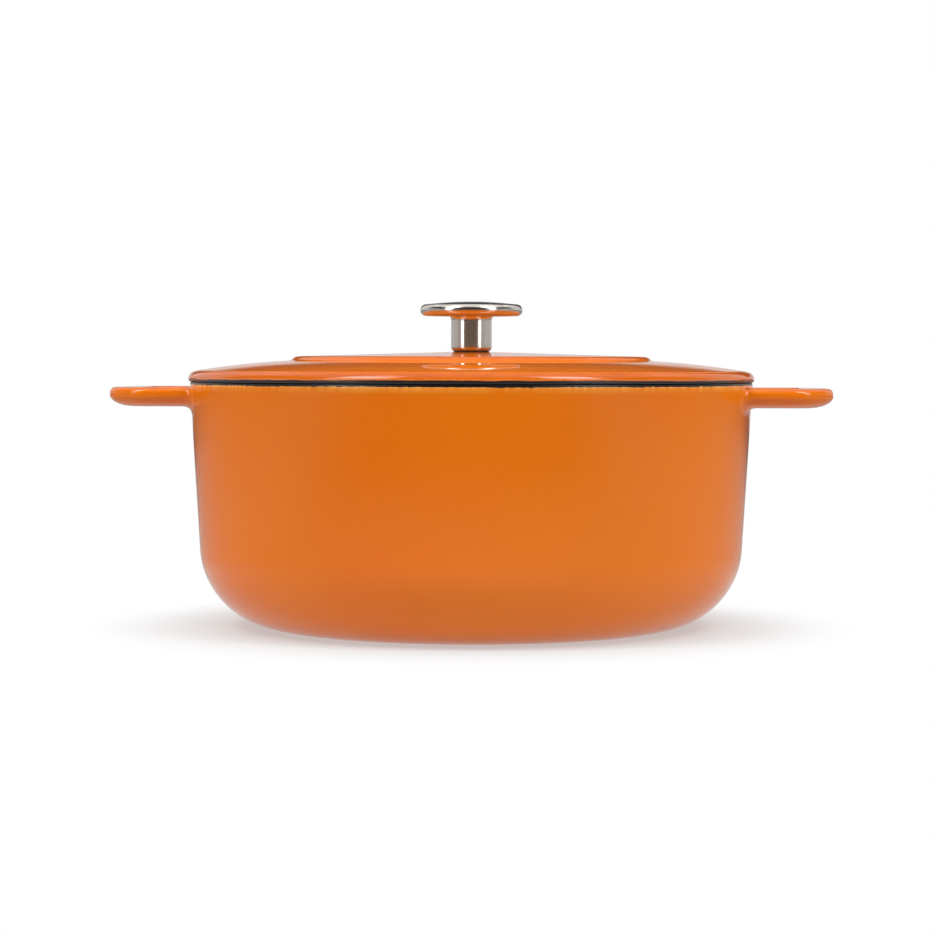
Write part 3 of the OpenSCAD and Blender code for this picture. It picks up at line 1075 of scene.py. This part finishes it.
class OVEN_OT_fixings(bpy.types.Operator):
    """Make the screw and its washers, and finish the threaded insert"""

    bl_idname = "oven.fixings"
    bl_label = "Fixings"

    def execute(self, context):
        knob = context.scene.oven_knob
        hole_r = knob.screw_d / 2 + WASHER_GAP
        screw = grid_mesh("screw", [screw_grid(knob)])
        piece("pan_head_screw", screw, zinc_plating, "lid", "knob_screw")
        washer = grid_mesh("washer", [ring_grid(WASHER_BOX, hole_r)], loop=True)
        piece("plain_washer", washer, zinc_plating, "lid", "flat_washer")
        lock = grid_mesh("lock", [lock_washer_grid(knob)])
        piece("split_washer", lock, zinc_plating, "lid", "lock_washer")
        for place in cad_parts["knob_insert"].material_slots:
            place.link = "OBJECT"
            place.material = finish(zinc_plating)
        return {"FINISHED"}


# The studio

# Each light's azimuth and elevation in degrees, distance, width and height in metres, and watts
LIGHTS = {
    "left_box": (-48, 34, 1.35, (0.36, 1.7), 8.7),
    "right_box": (52, 34, 1.35, (0.36, 1.7), 8.8),
    "left_core": (-44, 46, 1.3, (0.4, 0.32), 3.2),
    "right_core": (48, 46, 1.3, (0.4, 0.32), 3.2),
    "top_box": (0, 86, 1.4, (3.0, 1.8), 13.5),
    "left_rear_box": (-132, 30, 1.6, (1.2, 1.2), 3.6),
    "right_rear_box": (132, 30, 1.6, (1.2, 1.2), 3.6),
}


def soft_box(name, azimuth, elevation, distance, size, power):
    """A rectangular light that faces the middle of the pot. Azimuth 0 is in front, and it grows
    to the right."""
    data = bpy.data.lights.new(name, "AREA")
    data.shape = "RECTANGLE"
    data.size, data.size_y = size
    data.energy = power
    lamp = bpy.data.objects.new(name, data)
    bpy.context.scene.collection.objects.link(lamp)
    a, e = math.radians(azimuth), math.radians(elevation)
    centre = np.array([0, 0, POT_BOX[1].z * 0.6])
    lamp.location = centre + distance * np.array(
        [math.sin(a) * math.cos(e), -math.cos(a) * math.cos(e), math.sin(e)]
    )
    lamp.rotation_euler = (math.pi / 2 - e, 0, a)


def studio_floor(studio):
    """A pale floor with light under it round the pot, so the shadow stays faint. To the camera it
    fades into the white of the room away from the pot. Its colour is painted shade that turns grey
    away from the pot and nearly black far in front, which shows in reflections. Distances are from
    the pot's axis."""
    material, bench = new_bench("studio_floor")
    x, y, _ = bench.split(bench.place())
    radius = (x * x + y * y) ** 0.5
    grain = bench.noise(bench.place(), 3.0)
    pale = bench.mix(grain * 0.1, studio.floor, scaled(studio.floor, 0.95))
    # Painted shade: the floor turns grey away from the pot and nearly black far in front, which the
    # pot shows in reflections.
    far = radius.ramp(0.17, 0.36)
    front = (-(y / radius)).ramp(0.3, 0.9)
    mid = bench.mix(far, pale, (0.46, 0.45, 0.44))
    tone = bench.mix(radius.ramp(0.3, 0.8) * front, mid, (0.10, 0.095, 0.09))
    matt = bench.add("ShaderNodeBsdfDiffuse", {}, {"Color": tone})
    lamp = bench.glow("ShaderNodeEmission", WHITE, (1.0 - far) * studio.under)
    lit = bench.add("ShaderNodeAddShader", {}, {0: matt, 1: lamp})
    glow = bench.glow("ShaderNodeEmission", WHITE, 1.0)
    seen = bench.add("ShaderNodeLightPath")["Is Camera Ray"]
    away = radius.ramp(0.11, 0.2) * seen
    faded = bench.add("ShaderNodeMixShader", {}, {0: away, 1: lit, 2: glow})
    bench.add("ShaderNodeOutputMaterial", {}, {"Surface": faded})
    return material


def studio_world(studio):
    """White to the camera. What the pot sees is a pale band low down at the sides and behind, a
    darker and warmer one in front, dim walls above it, and a paler ceiling."""
    world = bpy.data.worlds.new("studio")
    bench = Bench(world)
    x, y, z = bench.split(bench.add("ShaderNodeTexCoord")["Generated"])
    front = (-y).ramp(0.0, 0.9)
    side = (x * x).ramp(0.75, 0.98)
    low = 1.0 - z.ramp(0.09, 0.16)
    high = z.ramp(0.5, 0.95)
    walls = side * (1.0 - z.ramp(0.5, 0.9)) * (1.0 - low) * 0.5
    strength = studio.fill * (0.05 + low * (0.8 - front * 0.6) + walls + high * 0.4)
    warm = bench.mix(front, WHITE, (1.0, 0.78, 0.62))
    light = bench.add("ShaderNodeBackground", {}, {"Color": warm, "Strength": strength})
    white = bench.glow("ShaderNodeBackground", WHITE, 1.0)
    seen = bench.add("ShaderNodeLightPath")["Is Camera Ray"]
    both = bench.add("ShaderNodeMixShader", {}, {0: seen, 1: light, 2: white})
    bench.add("ShaderNodeOutputWorld", {}, {"Surface": both})
    return world


class OVEN_OT_stage(bpy.types.Operator):
    """Make the floor, the lights and the camera"""

    bl_idname = "oven.stage"
    bl_label = "Studio"

    def execute(self, context):
        scene = context.scene
        studio = scene.oven_studio
        scene.world = studio_world(studio)
        scene.view_settings.view_transform = "Standard"
        mesh = bpy.data.meshes.new("floor")
        r = 3.0
        mesh.from_pydata([(-r, -r, 0), (r, -r, 0), (r, r, 0), (-r, r, 0)], [], [(0, 1, 2, 3)])
        mesh.materials.append(studio_floor(studio))
        floor = bpy.data.objects.new("floor", mesh)
        scene.collection.objects.link(floor)
        for name, settings in LIGHTS.items():
            soft_box(name, *settings)
        data = bpy.data.cameras.new("camera")
        data.lens = studio.lens
        data.sensor_width = 36.0
        camera = bpy.data.objects.new("camera", data)
        scene.collection.objects.link(camera)
        turn = studio.azimuth
        camera.location = (
            studio.distance * math.sin(turn) - studio.aside * math.cos(turn),
            -studio.distance * math.cos(turn) - studio.aside * math.sin(turn),
            studio.height,
        )
        camera.rotation_euler = (math.pi / 2 - studio.pitch, studio.roll, turn)
        scene.camera = camera
        return {"FINISHED"}


class OVEN_PT_panel(bpy.types.Panel):
    """Lists the makers of the pot, the lid, the knob, the fixings and the studio"""

    bl_idname = "OVEN_PT_panel"
    bl_label = "Dutch oven"
    bl_space_type = "VIEW_3D"
    bl_region_type = "UI"
    bl_category = "Dutch oven"

    def draw(self, context):
        for maker in MAKERS:
            self.layout.operator(maker.bl_idname)


GROUPS = {
    "oven_pot": PotSizes,
    "oven_handle": HandleSizes,
    "oven_lid": LidSizes,
    "oven_knob": KnobSizes,
    "oven_finishes": Finishes,
    "oven_studio": Studio,
}
MAKERS = (OVEN_OT_pot, OVEN_OT_lid, OVEN_OT_knob, OVEN_OT_fixings, OVEN_OT_stage)


def register():
    for kind in (*GROUPS.values(), *MAKERS, OVEN_PT_panel):
        bpy.utils.register_class(kind)
    for name, kind in GROUPS.items():
        setattr(bpy.types.Scene, name, bpy.props.PointerProperty(type=kind))


def unregister():
    for name in GROUPS:
        delattr(bpy.types.Scene, name)
    for kind in (OVEN_PT_panel, *MAKERS, *GROUPS.values()):
        bpy.utils.unregister_class(kind)


def main():
    register()
    bpy.ops.oven.pot()
    bpy.ops.oven.lid()
    bpy.ops.oven.knob()
    bpy.ops.oven.fixings()
    bpy.ops.oven.stage()


if __name__ == "__main__":
    main()
